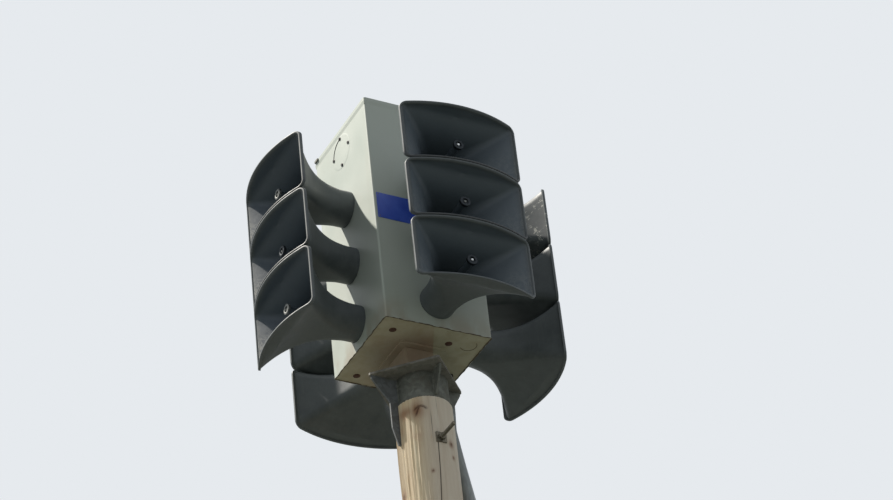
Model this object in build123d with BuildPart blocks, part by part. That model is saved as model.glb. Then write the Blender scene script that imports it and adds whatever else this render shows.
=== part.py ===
from build123d import *
from math import cos, pi, radians, sin, sqrt
import os

# Warning siren on a wooden pole. Millimetres, +Z up, origin on the pole's axis at ground level.
# The front face of the cabinet looks along -Y, and the right one along +X.

# Wooden pole, dressed with the axe in narrow flats. Its top is turned down to a neck inside the collar
pole_top_z = 8755.0
pole_neck_radius = 102.0
pole_shoulder_radius = 116.0
pole_foot_radius = 150.0
pole_flats = 36

# Steel bracket between the pole and the cabinet
plate_side = 300.0
plate_thickness = 10.0
collar_wall = 6.0
collar_height = 122.0
collar_clearance = 0.3
gusset_thickness = 8.0
gusset_height = 115.0
gusset_toe = 14.0
gusset_edge_margin = 12.0
pedestal_height = 117.0
pedestal_side = 150.0
pedestal_wall = 6.0
pedestal_corner = 10.0
pedestal_flange_side = 210.0
pedestal_flange_thickness = 8.0
leg_reach = 150.0
leg_straight = 113.0
leg_taper = 80.0
leg_toe = 12.0
leg_clearance = 0.3

# Through bolt below the bracket: it stands out on the front side
rod_radius = 8.0
rod_hole_clearance = 0.2
rod_below_collar = 200.0
rod_free_length = 115.0
rod_back_length = 30.0
nut_across_flats = 27.0
nut_height = 14.0
washer_side = 46.0
washer_thickness = 6.0

# Cabinet of folded sheet. It stands off the pole's axis by head_offset along X
head_offset = -24.0
cabinet_side = 480.0
cabinet_height = 1120.0
cabinet_wall = 3.0
cabinet_corner = 9.0
bottom_recess = 2.0
bottom_thickness = 3.0
bottom_flange = 26.0
bottom_gap = 0.2
drain_radius = 12.0
drain_places = [(-168.0, -158.0), (91.0, -144.0), (-163.0, 187.0)]
lid_top_thickness = 3.0
lid_lip_height = 18.0
lid_lip_wall = 2.0
lid_gap = 0.2
name_plate_width = 186.0
name_plate_height = 126.0
name_plate_thickness = 2.0
name_plate_edge = 3.0
name_plate_above_bottom = 496.0
name_plate_corner = 4.0

# Horns: three to a stack, one stack on each face
horns_per_stack = 3
horn_pitch = 290.0
horn_gap = 3.0
first_horn_above_bottom = 117.0
mouth_width = 530.0
mouth_corner_radius = 24.0
mouth_corner_depth = 330.0
mouth_crown_depth = 392.0
throat_radius = 76.0
throat_length = 50.0
throat_flat = 3.0
throat_floor = 6.0
horn_wall = 6.0
lip_width = 6.0
lip_depth = 12.0
width_power = 2.2
height_power = 3.9
corner_power = 0.8
flare_steps = [0.0, 0.25, 0.45, 0.65, 0.82, 1.0]
corner_flats = 2

# Driver in each throat: a slim cone with an end ring on the horn's axis
driver_root_radius = 44.0
driver_neck_depth = 110.0
driver_tip_radius = 15.0
driver_tip_depth = 306.0
ring_radius = 23.0
ring_bore_radius = 13.0
ring_depth = 12.0
ring_bore_depth = 5.0

# Blank over the unused fourth position on each face
blank_radius = 82.0
blank_thickness = 4.0
blank_below_top = 116.0

# Conduit from the cabinet down to the ground
conduit_radius = 25.0
conduit_pole_gap = 4.0
conduit_start_angle = 25.0
conduit_start_reach = 182.0
conduit_start_drop = 170.0
conduit_end_angle = -20.0
conduit_bend = 150.0
gland_radius = 36.0
gland_height = 24.0
clip_count = 6
clip_spacing = 1250.0
clip_first_z = 650.0
clip_width = 30.0
clip_thickness = 3.0
clip_ear = 26.0
clip_clearance = 0.3

# Levels and radii that follow from the sizes above
plate_top_z = pole_top_z + plate_thickness
bottom_face_z = plate_top_z + pedestal_height
cabinet_z = bottom_face_z - bottom_recess
cabinet_top_z = cabinet_z + cabinet_height
cabinet_reach = cabinet_side / 2
collar_inner_radius = pole_neck_radius + collar_clearance
collar_outer_radius = collar_inner_radius + collar_wall
collar_foot_z = pole_top_z - collar_height
mouth_height = horn_pitch - horn_gap
plate_corner_reach = plate_side / sqrt(2)
rod_z = collar_foot_z - rod_below_collar


def pole_radius(z):
    # straight taper from the foot to the shoulder, measured to the flats
    return pole_foot_radius + (pole_shoulder_radius - pole_foot_radius) * z / collar_foot_z


def horn_level(row):
    # height of the axis of a horn, counted from the lowest one
    return cabinet_z + first_horn_above_bottom + row * horn_pitch


def save(piece, name):
    piece.part.label = name
    export_step(piece.part, f"parts/{name}.step")


os.makedirs("parts", exist_ok=True)

face_angles = {"front": -90, "right": 0, "back": 90, "left": 180}


def face_seat(side, z):
    # a frame on a cabinet face: X points out of the face, Z stays up
    angle = face_angles[side]
    x = head_offset + cabinet_reach * cos(radians(angle))
    y = cabinet_reach * sin(radians(angle))
    return Location((x, y, z), (0, 0, angle))


def head_plane(z):
    # level plane centred on the cabinet's axis
    return Plane.XY.shift_origin((head_offset, 0, 0)).offset(z)


# Wooden pole, with a bolt hole under the bracket
with BuildPart() as wooden_pole:
    for z in (0, collar_foot_z):
        with BuildSketch(Plane.XY.offset(z)):
            flat_turn = 180 / pole_flats
            RegularPolygon(pole_radius(z), pole_flats, major_radius=False, rotation=flat_turn)
    loft(ruled=True)
    with BuildSketch(Plane.XY.offset(collar_foot_z)):
        Circle(pole_neck_radius)
    extrude(amount=collar_height)
    with BuildSketch(Plane.XZ.shift_origin((0, 0, rod_z))):
        Circle(rod_radius + rod_hole_clearance)
    extrude(amount=pole_foot_radius, both=True, mode=Mode.SUBTRACT)
save(wooden_pole, "wooden_pole")

# Collar round the pole's neck
with BuildPart() as pole_collar:
    with BuildSketch(Plane.XY.offset(collar_foot_z)):
        Circle(collar_outer_radius)
        Circle(collar_inner_radius, mode=Mode.SUBTRACT)
    extrude(amount=collar_height)
save(pole_collar, "pole_collar")

# Square plate on the collar, turned by 45 degrees to the cabinet
with BuildPart() as bracket_plate:
    with BuildSketch(head_plane(pole_top_z)):
        Rectangle(plate_side, plate_side, rotation=45)
    extrude(amount=plate_thickness)
    fillet(bracket_plate.edges().filter_by(Axis.Z), plate_thickness)
save(bracket_plate, "bracket_plate")

gusset_root = sqrt(collar_outer_radius**2 - (gusset_thickness / 2) ** 2)


def upright_plane(angle):
    # upright plane through the pole's axis: X points outwards, Y up
    turned = radians(angle)
    return Plane(origin=(0, 0, 0), x_dir=(cos(turned), sin(turned), 0), z_dir=(sin(turned), -cos(turned), 0))


def gusset_reach(angle):
    # how far a gusset goes out under the plate, whose centre stands off the pole's axis
    turned = radians(angle)
    return plate_corner_reach + head_offset * cos(turned) - abs(head_offset * sin(turned)) - gusset_edge_margin


# Three gussets between the plate and the collar
with BuildPart() as bracket_gussets:
    for angle in (0, 90, 270):
        with BuildSketch(upright_plane(angle)):
            with BuildLine():
                Polyline(
                    (gusset_root, pole_top_z),
                    (gusset_reach(angle), pole_top_z),
                    (gusset_reach(angle), pole_top_z - gusset_toe),
                    (gusset_root + gusset_toe, pole_top_z - gusset_height),
                    (gusset_root, pole_top_z - gusset_height),
                    close=True,
                )
            make_face()
        extrude(amount=gusset_thickness / 2, both=True)
    with BuildSketch(Plane.XY.offset(collar_foot_z)):
        Circle(collar_outer_radius)
    extrude(amount=collar_height, mode=Mode.SUBTRACT)
save(bracket_gussets, "bracket_gussets")

# The fourth gusset is longer: it runs down the pole's side as a leg
with BuildPart() as bracket_leg:
    leg_knee_z = collar_foot_z - leg_straight
    leg_foot_z = leg_knee_z - leg_taper
    leg_foot_radius = pole_radius(leg_foot_z) + leg_clearance
    with BuildSketch(upright_plane(180)):
        with BuildLine():
            Polyline(
                (gusset_root, pole_top_z),
                (gusset_reach(180), pole_top_z),
                (gusset_reach(180), pole_top_z - gusset_toe),
                (leg_reach, pole_top_z - gusset_height),
                (leg_reach, leg_knee_z),
                (leg_foot_radius + leg_toe, leg_foot_z),
                (leg_foot_radius, leg_foot_z),
                (pole_shoulder_radius + leg_clearance, collar_foot_z),
                (gusset_root, collar_foot_z),
                close=True,
            )
        make_face()
    extrude(amount=gusset_thickness / 2, both=True)
    with BuildSketch(Plane.XY.offset(collar_foot_z)):
        Circle(collar_outer_radius)
    extrude(amount=collar_height, mode=Mode.SUBTRACT)
save(bracket_leg, "bracket_leg")

# Pedestal: a short square tube with a bolting flange under the cabinet
with BuildPart() as pedestal:
    with BuildSketch(head_plane(plate_top_z)):
        RectangleRounded(pedestal_side, pedestal_side, pedestal_corner)
        inner_side = pedestal_side - 2 * pedestal_wall
        RectangleRounded(inner_side, inner_side, pedestal_corner - pedestal_wall, mode=Mode.SUBTRACT)
    extrude(amount=pedestal_height - pedestal_flange_thickness)
    with BuildSketch(head_plane(bottom_face_z - pedestal_flange_thickness)):
        RectangleRounded(pedestal_flange_side, pedestal_flange_side, pedestal_corner)
    extrude(amount=pedestal_flange_thickness)
save(pedestal, "pedestal")

# Through bolt: threaded rod with a square washer and a nut at each side
with BuildPart() as through_bolt:
    seat_y = pole_radius(rod_z - washer_side / 2)
    rod_plane = Plane.XZ.shift_origin((0, 0, rod_z))
    with BuildSketch(rod_plane.offset(-seat_y - rod_back_length)):
        Circle(rod_radius)
    extrude(amount=2 * seat_y + rod_back_length + rod_free_length)
    for hand in (1, -1):
        with BuildSketch(rod_plane.offset(hand * seat_y)):
            Rectangle(washer_side, washer_side)
        extrude(amount=hand * washer_thickness)
        with BuildSketch(rod_plane.offset(hand * (seat_y + washer_thickness))):
            RegularPolygon(nut_across_flats / 2, 6, major_radius=False)
        extrude(amount=hand * nut_height)
save(through_bolt, "through_bolt")

# Cabinet walls, folded to a square tube
with BuildPart() as cabinet_walls:
    inside = cabinet_side - 2 * cabinet_wall
    with BuildSketch(head_plane(cabinet_z)):
        RectangleRounded(cabinet_side, cabinet_side, cabinet_corner)
        RectangleRounded(inside, inside, cabinet_corner - cabinet_wall, mode=Mode.SUBTRACT)
    extrude(amount=cabinet_height - lid_top_thickness)
save(cabinet_walls, "cabinet_walls")

# Bottom tray, let into the walls, with three drain holes
with BuildPart() as cabinet_bottom:
    tray_side = inside - 2 * bottom_gap
    tray_corner = cabinet_corner - cabinet_wall - bottom_gap
    with BuildSketch(head_plane(bottom_face_z)):
        RectangleRounded(tray_side, tray_side, tray_corner)
        with Locations(*drain_places):
            Circle(drain_radius, mode=Mode.SUBTRACT)
    extrude(amount=bottom_thickness)
    with BuildSketch(head_plane(bottom_face_z)):
        RectangleRounded(tray_side, tray_side, tray_corner)
        hollow_side = tray_side - 2 * bottom_thickness
        RectangleRounded(hollow_side, hollow_side, tray_corner - bottom_thickness, mode=Mode.SUBTRACT)
    extrude(amount=bottom_flange)
save(cabinet_bottom, "cabinet_bottom")

# Lid: a shallow cap over the walls
with BuildPart() as cabinet_lid:
    lid_side = cabinet_side + 2 * (lid_gap + lid_lip_wall)
    lid_corner = cabinet_corner + lid_gap + lid_lip_wall
    with BuildSketch(head_plane(cabinet_top_z - lid_lip_height)):
        RectangleRounded(lid_side, lid_side, lid_corner)
    extrude(amount=lid_lip_height)
    chamfer(cabinet_lid.faces().sort_by(Axis.Z)[-1].edges(), lid_lip_wall)
    with BuildSketch(head_plane(cabinet_top_z - lid_lip_height)):
        pocket_side = cabinet_side + 2 * lid_gap
        RectangleRounded(pocket_side, pocket_side, cabinet_corner + lid_gap)
    extrude(amount=lid_lip_height - lid_top_thickness, mode=Mode.SUBTRACT)
save(cabinet_lid, "cabinet_lid")

# Bare plate on the front face, beside the horns
with BuildPart() as name_plate:
    plate_x = head_offset - cabinet_reach + cabinet_corner + name_plate_edge + name_plate_width / 2
    plate_z = cabinet_z + name_plate_above_bottom + name_plate_height / 2
    with BuildSketch(Plane.XZ.offset(cabinet_reach).shift_origin((plate_x, -cabinet_reach, plate_z))):
        RectangleRounded(name_plate_width, name_plate_height, name_plate_corner)
    extrude(amount=name_plate_thickness)
save(name_plate, "name_plate")


def flare_station(share, depth, outset):
    # half width, half height and corner radius at a depth, a share of the way from the throat to the mouth
    half_width = throat_radius + (mouth_width / 2 - lip_width - throat_radius) * share**width_power
    half_height = throat_radius + (mouth_height / 2 - lip_width - throat_radius) * share**height_power
    start_corner = throat_radius - throat_flat
    corner = start_corner + (mouth_corner_radius - start_corner) * share**corner_power
    return depth, half_width + outset, half_height + outset, corner + outset


def side_reach(half_width, half_height, corner, angle):
    # how far from the axis the side lies that faces this angle
    turned = radians(angle)
    return (half_width - corner) * abs(cos(turned)) + (half_height - corner) * abs(sin(turned)) + corner


def flat_sided(stations):
    # solid along X through the stations: what its pairs of opposite sides enclose, corners in flats
    with BuildPart() as body:
        for number in range(2 * (corner_flats + 1)):
            angle = 90 * number / (corner_flats + 1)
            turned = radians(angle)
            side = [(depth, side_reach(*sizes, angle)) for depth, *sizes in stations]
            other_side = [(depth, -reach) for depth, reach in reversed(side)]
            with BuildSketch(Plane(origin=(0, 0, 0), x_dir=(1, 0, 0), z_dir=(0, -sin(turned), cos(turned)))):
                Polygon(*side, *other_side, align=None)
            extrude(amount=mouth_width, both=True, mode=Mode.INTERSECT if number else Mode.ADD)
    return body.part


def flare_body(start_depth, outset):
    # closed flare from its start in the throat, through its steps, to straight sides past the mouth's crown
    flare_length = mouth_corner_depth - throat_length
    stations = [flare_station(0.0, start_depth, outset)]
    stations += [flare_station(share, throat_length + flare_length * share, outset) for share in flare_steps]
    stations.append(flare_station(1.0, mouth_crown_depth + lip_depth, outset))
    return flat_sided(stations)


# One horn in its own frame: X along its axis out of the cabinet, Z up
mouth_rise = mouth_crown_depth - mouth_corner_depth
mouth_bow_radius = ((mouth_width / 2) ** 2 + mouth_rise**2) / (2 * mouth_rise)
bow_centre = mouth_crown_depth - mouth_bow_radius

with BuildPart() as horn_lip:
    lip_sizes = (mouth_width / 2, mouth_height / 2, mouth_corner_radius + lip_width)
    lip_start = mouth_corner_depth - mouth_rise
    add(flat_sided([(lip_start, *lip_sizes), (mouth_crown_depth + lip_depth, *lip_sizes)]))
    with BuildSketch(Plane.XY.offset(-mouth_height)):
        with Locations((bow_centre, 0)):
            Circle(mouth_bow_radius)
            Circle(mouth_bow_radius - lip_depth, mode=Mode.SUBTRACT)
    extrude(amount=2 * mouth_height, mode=Mode.INTERSECT)

with BuildPart() as horn_shape:
    add(flare_body(0.0, 0.0))
    with BuildSketch(Plane.XY.offset(-mouth_height)):
        with Locations((bow_centre, 0)):
            Circle(mouth_bow_radius)
    extrude(amount=2 * mouth_height, mode=Mode.INTERSECT)
    add(horn_lip.part)
    add(flare_body(throat_floor, -horn_wall), mode=Mode.SUBTRACT)

with BuildPart() as driver_shape:
    driver_profile = [
        (throat_floor, driver_root_radius),
        (driver_neck_depth, driver_tip_radius),
        (driver_tip_depth, driver_tip_radius),
        (driver_tip_depth, ring_radius),
        (driver_tip_depth + ring_depth, ring_radius),
    ]
    add(flat_sided([(depth, radius, radius, radius) for depth, radius in driver_profile]))
    with BuildSketch(Plane.YZ.offset(driver_tip_depth + ring_depth)):
        Circle(ring_bore_radius)
    extrude(amount=-ring_bore_depth, mode=Mode.SUBTRACT)

with BuildPart() as blank_shape:
    with BuildSketch(Plane.YZ):
        Circle(blank_radius)
    extrude(amount=blank_thickness)

for side in face_angles:
    for row in range(horns_per_stack):
        with BuildPart() as horn:
            with Locations(face_seat(side, horn_level(row))):
                add(horn_shape.part)
        save(horn, f"horn_{side}_{row + 1}")
        with BuildPart() as driver:
            with Locations(face_seat(side, horn_level(row))):
                add(driver_shape.part)
        save(driver, f"driver_{side}_{row + 1}")

    # Blank over the unused position above the stack
    with BuildPart() as blank:
        with Locations(face_seat(side, cabinet_top_z - blank_below_top)):
            add(blank_shape.part)
    save(blank, f"blank_{side}")


def route_point(angle, reach, z):
    return Vector(reach * cos(radians(angle)), reach * sin(radians(angle)), z)


def conduit_reach(z):
    # distance of the conduit's axis from the pole's where it lies along the wood
    return pole_radius(z) + conduit_radius + conduit_pole_gap


# Conduit: out of the cabinet's bottom, past the plate, round the pole and down its side.
# Each bend has its angle round the pole, its drop below the cabinet and how far it stands off the wood.
conduit_bends = [(18, 290, 4), (5, 480, 3), (-11, 680, 9), (conduit_end_angle, 900, 0)]
route = [route_point(conduit_start_angle, conduit_start_reach, bottom_face_z)]
route.append(route_point(conduit_start_angle, conduit_start_reach, bottom_face_z - conduit_start_drop))
for angle, drop, standoff in conduit_bends:
    z = bottom_face_z - drop
    route.append(route_point(angle, conduit_reach(z) + standoff, z))
route.append(route_point(conduit_end_angle, conduit_reach(-conduit_radius), -conduit_radius))

with BuildPart() as conduit:
    with BuildLine() as conduit_line:
        FilletPolyline(*route, radius=conduit_bend)
    with BuildSketch(Plane(origin=route[0], z_dir=(0, 0, -1))):
        Circle(conduit_radius)
    sweep()
    split(bisect_by=Plane.XY, keep=Keep.TOP)
save(conduit, "conduit")

with BuildPart() as conduit_gland:
    with BuildSketch(Plane(origin=route[0], z_dir=(0, 0, -1))):
        RegularPolygon(gland_radius, 6)
        Circle(conduit_radius + clip_clearance, mode=Mode.SUBTRACT)
    extrude(amount=gland_height)
save(conduit_gland, "conduit_gland")

# Saddle clips along the straight stretch
with BuildPart() as conduit_clips:
    for number in range(clip_count):
        z = clip_first_z + number * clip_spacing
        centre = route_point(conduit_end_angle, conduit_reach(z), z)
        out = route_point(conduit_end_angle, 1, 0)
        band = Plane(origin=centre, x_dir=out, z_dir=(0, 0, 1))
        inner = conduit_radius + clip_clearance
        foot_x = clip_clearance - conduit_radius - conduit_pole_gap
        with BuildSketch(band.offset(-clip_width / 2)):
            with BuildLine():
                Line((foot_x, inner + clip_ear), (foot_x, inner))
                Line((foot_x, inner), (0, inner))
                ThreePointArc((0, inner), (inner, 0), (0, -inner))
                Line((0, -inner), (foot_x, -inner))
                Line((foot_x, -inner), (foot_x, -inner - clip_ear))
                offset(amount=clip_thickness, side=Side.LEFT, kind=Kind.INTERSECTION)
            make_face()
        extrude(amount=clip_width)
save(conduit_clips, "conduit_clips")
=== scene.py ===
from functools import partial
from math import cos, pi, radians, sin, sqrt

import bpy
import numpy as np
from mathutils import Matrix, Vector


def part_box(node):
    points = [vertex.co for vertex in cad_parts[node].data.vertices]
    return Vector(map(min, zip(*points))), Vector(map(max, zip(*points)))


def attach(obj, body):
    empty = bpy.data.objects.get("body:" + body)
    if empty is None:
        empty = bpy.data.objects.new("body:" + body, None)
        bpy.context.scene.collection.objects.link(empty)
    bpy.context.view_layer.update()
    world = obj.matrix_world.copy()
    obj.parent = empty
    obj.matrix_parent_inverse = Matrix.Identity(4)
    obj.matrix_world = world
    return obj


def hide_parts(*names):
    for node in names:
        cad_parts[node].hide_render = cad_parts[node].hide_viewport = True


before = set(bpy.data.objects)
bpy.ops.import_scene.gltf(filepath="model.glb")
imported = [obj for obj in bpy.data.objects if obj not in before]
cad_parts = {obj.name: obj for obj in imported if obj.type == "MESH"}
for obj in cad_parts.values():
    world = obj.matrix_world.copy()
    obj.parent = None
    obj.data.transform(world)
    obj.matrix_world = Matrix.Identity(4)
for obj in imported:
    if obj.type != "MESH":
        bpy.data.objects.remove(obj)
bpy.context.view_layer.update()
print("frame loaded:", len(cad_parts), "nodes")

mm = 0.001  # the dictionaries give lengths in millimetres and angles in degrees


def readBox(node):
    # lowest and highest corner of a node, as arrays in metres
    low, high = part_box(node)
    return np.array(low), np.array(high)


wallsLow, wallsHigh = readBox("cabinet_walls")
lidLow, lidHigh = readBox("cabinet_lid")
trayLevel = readBox("cabinet_bottom")[0][2]
headX = (wallsLow[0] + wallsHigh[0]) / 2  # the head stands a little off the pole's axis
cabinetHalf = (wallsHigh[0] - wallsLow[0]) / 2
faceAngles = {"front": -90, "right": 0, "back": 90, "left": 180}
hexCorner = 1.155  # radius to the corners of a hexagon whose flats lie at a radius of one


# Shapes: every piece is rings of points, worked out as whole arrays


def ease(share):
    # smooth step from 0 to 1
    share = np.clip(share, 0, 1)
    return share * share * (3 - 2 * share)


def unit(vectors):
    return vectors / np.linalg.norm(vectors, axis=-1, keepdims=True)


def around(degrees):
    # level directions at an angle about the pole's axis: outwards, and to the left of that
    angle = radians(degrees)
    return np.array([cos(angle), sin(angle), 0]), np.array([-sin(angle), cos(angle), 0])


def shell(rings, start=None, end=None, joined=False, marks=None):
    # rings are rows x columns x 3, each closed on itself and right-handed about the way the rows go;
    # start and end are centres of fans that close the ends, joined links the last ring to the first
    rows, columns = rings.shape[:2]
    points = rings.reshape(-1, 3)
    values = {key: np.broadcast_to(value, (rows, columns)).ravel() for key, value in (marks or {}).items()}
    row = np.arange(rows if joined else rows - 1)[:, None] * columns
    nextRow = (row + columns) % (rows * columns)
    column = np.arange(columns)
    following = (column + 1) % columns
    corners = [row + column, row + following, nextRow + following, nextRow + column]
    quads = np.stack(corners, -1).reshape(-1, 4)
    triangles = [np.zeros((0, 3), int)]
    for centre, ring, first, second in ((start, 0, following, column), (end, rows - 1, column, following)):
        if centre is not None:
            pole = np.full(columns, len(points))
            triangles.append(np.stack([ring * columns + first, ring * columns + second, pole], -1))
            points = np.vstack([points, np.asarray(centre, float)[None]])
            values = {key: np.append(value, value[ring * columns]) for key, value in values.items()}
    return {"points": points, "quads": quads, "triangles": np.vstack(triangles), "marks": values}


def newObject(name, data):
    item = bpy.data.objects.new(name, data)
    bpy.context.scene.collection.objects.link(item)
    return item


def makePiece(name, shells, material, replaced=(), sharpAngle=38):
    # one mesh object from several shells, smooth but for its sharp edges
    shells = shells if isinstance(shells, list) else [shells]
    offsets = np.cumsum([0] + [len(item["points"]) for item in shells])
    points = np.vstack([item["points"] for item in shells])
    quads, triangles = [
        np.vstack([item[key] + offset for item, offset in zip(shells, offsets)])
        for key in ("quads", "triangles")
    ]
    corners = np.concatenate([quads.ravel(), triangles.ravel()])
    starts = np.concatenate([np.arange(len(quads)) * 4, len(quads) * 4 + np.arange(len(triangles)) * 3])
    mesh = bpy.data.meshes.new(name)
    mesh.vertices.add(len(points))
    mesh.vertices.foreach_set("co", points.astype(np.float32).ravel())
    mesh.loops.add(len(corners))
    mesh.loops.foreach_set("vertex_index", corners.astype(np.int32))
    mesh.polygons.add(len(starts))
    mesh.polygons.foreach_set("loop_start", starts.astype(np.int32))
    mesh.update(calc_edges=True)
    mesh.polygons.foreach_set("use_smooth", np.ones(len(starts), bool))
    for key in shells[0]["marks"]:
        values = np.concatenate([item["marks"][key] for item in shells])
        mesh.attributes.new(key, "FLOAT", "POINT").data.foreach_set("value", values.astype(np.float32))
    mesh.set_sharp_from_angle(angle=radians(sharpAngle))
    mesh.materials.append(material)
    piece = newObject(name, mesh)
    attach(piece, "root")
    if replaced:
        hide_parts(*replaced)


def placed(item, origin, along, across):
    # a shell in local millimetres (along, across, up) set in the frame, with up = along x across
    along, across = unit(np.array(along, float)), unit(np.array(across, float))
    points = np.array(origin) + item["points"] * mm @ np.array([along, across, np.cross(along, across)])
    return dict(item, points=points)


def faceSeat(name):
    # seat of a node on the face that its name gives: origin, way out of the face and level way along it
    low, high = readBox(name)
    out, across = around(faceAngles[name.split("_")[1]])
    return np.array([headX, 0, (low[2] + high[2]) / 2]) + cabinetHalf * out, out, across


def roundedOutline(width, height, corner, steps=4):
    # rectangle with round corners, anticlockwise: corner centres plus the radius turned through each quarter
    quarter = np.repeat(np.arange(4), steps + 1)
    angle = (quarter + np.tile(np.linspace(0, 1, steps + 1), 4)) * pi / 2
    signs = np.array([(1, 1), (-1, 1), (-1, -1), (1, -1)])[quarter]
    centre = signs * (width / 2 - corner, height / 2 - corner)
    return centre + corner * np.stack([np.cos(angle), np.sin(angle)], -1)


def roundOutline(radius, columns):
    # circle: the radius times cosine and sine of even angles
    angle = np.linspace(0, 2 * pi, columns, endpoint=False)
    return radius * np.stack([np.cos(angle), np.sin(angle)], -1)


def turned(along, radius):
    # rings round the local first axis, closed at both ends: a radius for each row and column
    angle = np.linspace(0, 2 * pi, radius.shape[1], endpoint=False)
    rings = np.stack([along * np.ones(angle.shape), radius * np.cos(angle), radius * np.sin(angle)], -1)
    return shell(rings, start=(along[0, 0], 0, 0), end=(along[-1, 0], 0, 0))


def lathe(profile, columns, flats=0):
    # profile of (along, radius) pairs turned about the local first axis; flats gives a prism with that many
    # sides: the radius is then cut to the flat distance over the cosine of the angle from a flat's middle
    profile = np.array(profile, float)[:, None]
    radius = profile[..., 1] * np.ones(columns)
    if flats:
        half = pi / flats
        angle = np.linspace(0, 2 * pi, columns, endpoint=False)
        radius = np.minimum(radius, profile[..., 2] / np.cos((angle + half) % (2 * half) - half))
    return turned(profile[..., 0], radius)


def slab(outline, stations):
    # an outline pushed along the local first axis and scaled a little, by stations of (along, scale)
    stations = np.array(stations, float)[:, None]
    along = stations[..., :1] * np.ones((1, len(outline), 1))
    rings = np.concatenate([along, stations[..., 1:] * outline], -1)
    return shell(rings, start=(stations[0, 0, 0], 0, 0), end=(stations[-1, 0, 0], 0, 0))


def arcBar(major, minor, start, end):
    # round bar bent to part of a circle, in the plane across the local first axis
    turn = np.radians(np.linspace(start, end, 40))[:, None]
    bar = roundOutline(minor, 12)[None]
    radius = major + bar[..., 0]
    rings = np.stack([bar[..., 1] * np.ones(turn.shape), radius * np.cos(turn), radius * np.sin(turn)], -1)
    ends = [(0, major * cos(angle), major * sin(angle)) for angle in (turn[0, 0], turn[-1, 0])]
    return shell(rings, start=ends[0], end=ends[1])


def boltHead(flat, height, washer):
    # hexagon head with turned chamfer, on a washer
    top = flat * hexCorner
    profile = [(washer, top, flat), (washer + height * 0.8, top, flat), (washer + height, flat * 0.93, flat)]
    disc = [(0, flat * 1.7), (washer * 0.8, flat * 1.7), (washer, flat * 1.62)]
    return lathe(profile, 24, flats=6), lathe(disc, 24)


def carried(path, outline, across):
    # an outline of (side, up) pairs carried along a path, with up kept towards the across direction
    forward = unit(np.gradient(path, axis=0))
    across = np.broadcast_to(np.asarray(across, float), path.shape)
    up = unit(across - (across * forward).sum(-1, keepdims=True) * forward)
    side = np.cross(up, forward)
    return path[:, None] + outline[None, :, :1] * side[:, None] + outline[None, :, 1:] * up[:, None]


def evenPoints(line, step=None, count=None):
    # points at even steps along a line; a count is for a closed one, whose last point is its first
    run = np.concatenate([[0], np.cumsum(np.linalg.norm(np.diff(line, axis=0), axis=1))])
    even = np.linspace(0, run[-1], count or int(run[-1] / step), endpoint=count is None)
    return np.stack([np.interp(even, run, column) for column in line.T], -1)


def ripple(angle, height, count, longest, seed):
    # sum of waves that run round the pole and wander slowly along it
    draw = np.random.default_rng(seed)
    total = 0
    for _ in range(count):
        turns = draw.integers(18, 75)
        size, length, start = draw.uniform(1.5, 4), draw.uniform(0.4, longest), draw.uniform(0, 6)
        wander = size * np.sin(2 * pi * height / length + start)
        total = total + draw.uniform(0.5, 1) * np.cos(turns * angle + wander + draw.uniform(0, 6))
    return total / sqrt(count)


# Materials: procedural, on Object coordinates or the pieces' own attributes

# what these kinds of node are set to here, unless a call says otherwise
usualSettings = {
    "MapRange": {"interpolation_type": "SMOOTHSTEP"},
    "Mix": {"data_type": "RGBA"},
    "Math": {"operation": "MULTIPLY"},
    "TexVoronoi": {"feature": "F1"},
}


def linear(hexColour):
    # sRGB hex to linear light
    channels = np.array([int(hexColour[i:i + 2], 16) for i in (1, 3, 5)]) / 255
    light = np.where(channels <= 0.04045, channels / 12.92, ((channels + 0.055) / 1.055) ** 2.4)
    return (*light, 1.0)


def plug(socket, value):
    # sets a socket to a link, a value or a hex colour; none leaves it as it is
    if isinstance(value, bpy.types.NodeSocket):
        socket.id_data.links.new(value, socket)
    elif value is not None:
        socket.default_value = linear(value) if isinstance(value, str) else value


def addNode(tree, kind, *inputs, settings=None, output=None, **named):
    # a node with its settings and links: inputs fill its live sockets in order, named ones have _ for spaces;
    # gives back the first live output, or the one asked for
    node = tree.nodes.new("ShaderNode" + kind)
    for key, value in (settings or usualSettings.get(kind, {})).items():
        setattr(node, key, value)
    for socket, value in zip([socket for socket in node.inputs if socket.enabled], inputs):
        plug(socket, value)
    for key, value in named.items():
        plug(node.inputs[key.replace("_", " ")], value)
    return next((socket for socket in node.outputs if socket.enabled and output in (None, socket.name)), None)


def newMaterial(name):
    # an empty material, the function that adds nodes to it, and the object's coordinates
    material = bpy.data.materials.new(name)
    material.use_nodes = True
    add = partial(addNode, material.node_tree)
    return material, add, add("TexCoord", output="Object")


def dress(material, add, reliefs, **links):
    # sets the shader's inputs and its relief: pairs of a height and the millimetres that one of it stands for
    normal = None
    for height, depth in reliefs:
        normal = add("Bump", Height=height, Distance=depth * mm, Strength=1.0, Normal=normal)
    for key, value in dict(links, Normal=normal).items():
        plug(material.node_tree.nodes["Principled BSDF"].inputs[key.replace("_", " ")], value)
    return material


def tones(add, value, low, high, first, second):
    # colour that goes from one tone to another as a value goes from low to high
    share = add("MapRange", value, low, high, settings={"interpolation_type": "LINEAR"})
    return add("Mix", share, first, second)


def noise(add, place, size, detail=3.0, roughness=0.5, stretch=(1, 1, 1), distortion=0.0):
    # noise whose features are about size millimetres across, longer where stretch is above 1
    scaled = add("Mapping", place, Scale=[1 / (size * mm * longer) for longer in stretch])
    return add("TexNoise", scaled, 1.0, Detail=detail, Roughness=roughness, Distortion=distortion)


def cells(add, place, size, output=None):
    # scattered cells about size millimetres apart: the distance from their points, or another output
    scaled = add("Mapping", place, Scale=[1 / (size * mm)] * 3)
    return add("TexVoronoi", scaled, 1.0, output=output)


def measured(add, place, start, way):
    # signed distance in metres from a point, counted along a direction
    apart = add("VectorMath", place, start, settings={"operation": "SUBTRACT"})
    return add("VectorMath", apart, way, settings={"operation": "DOT_PRODUCT"})


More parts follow.
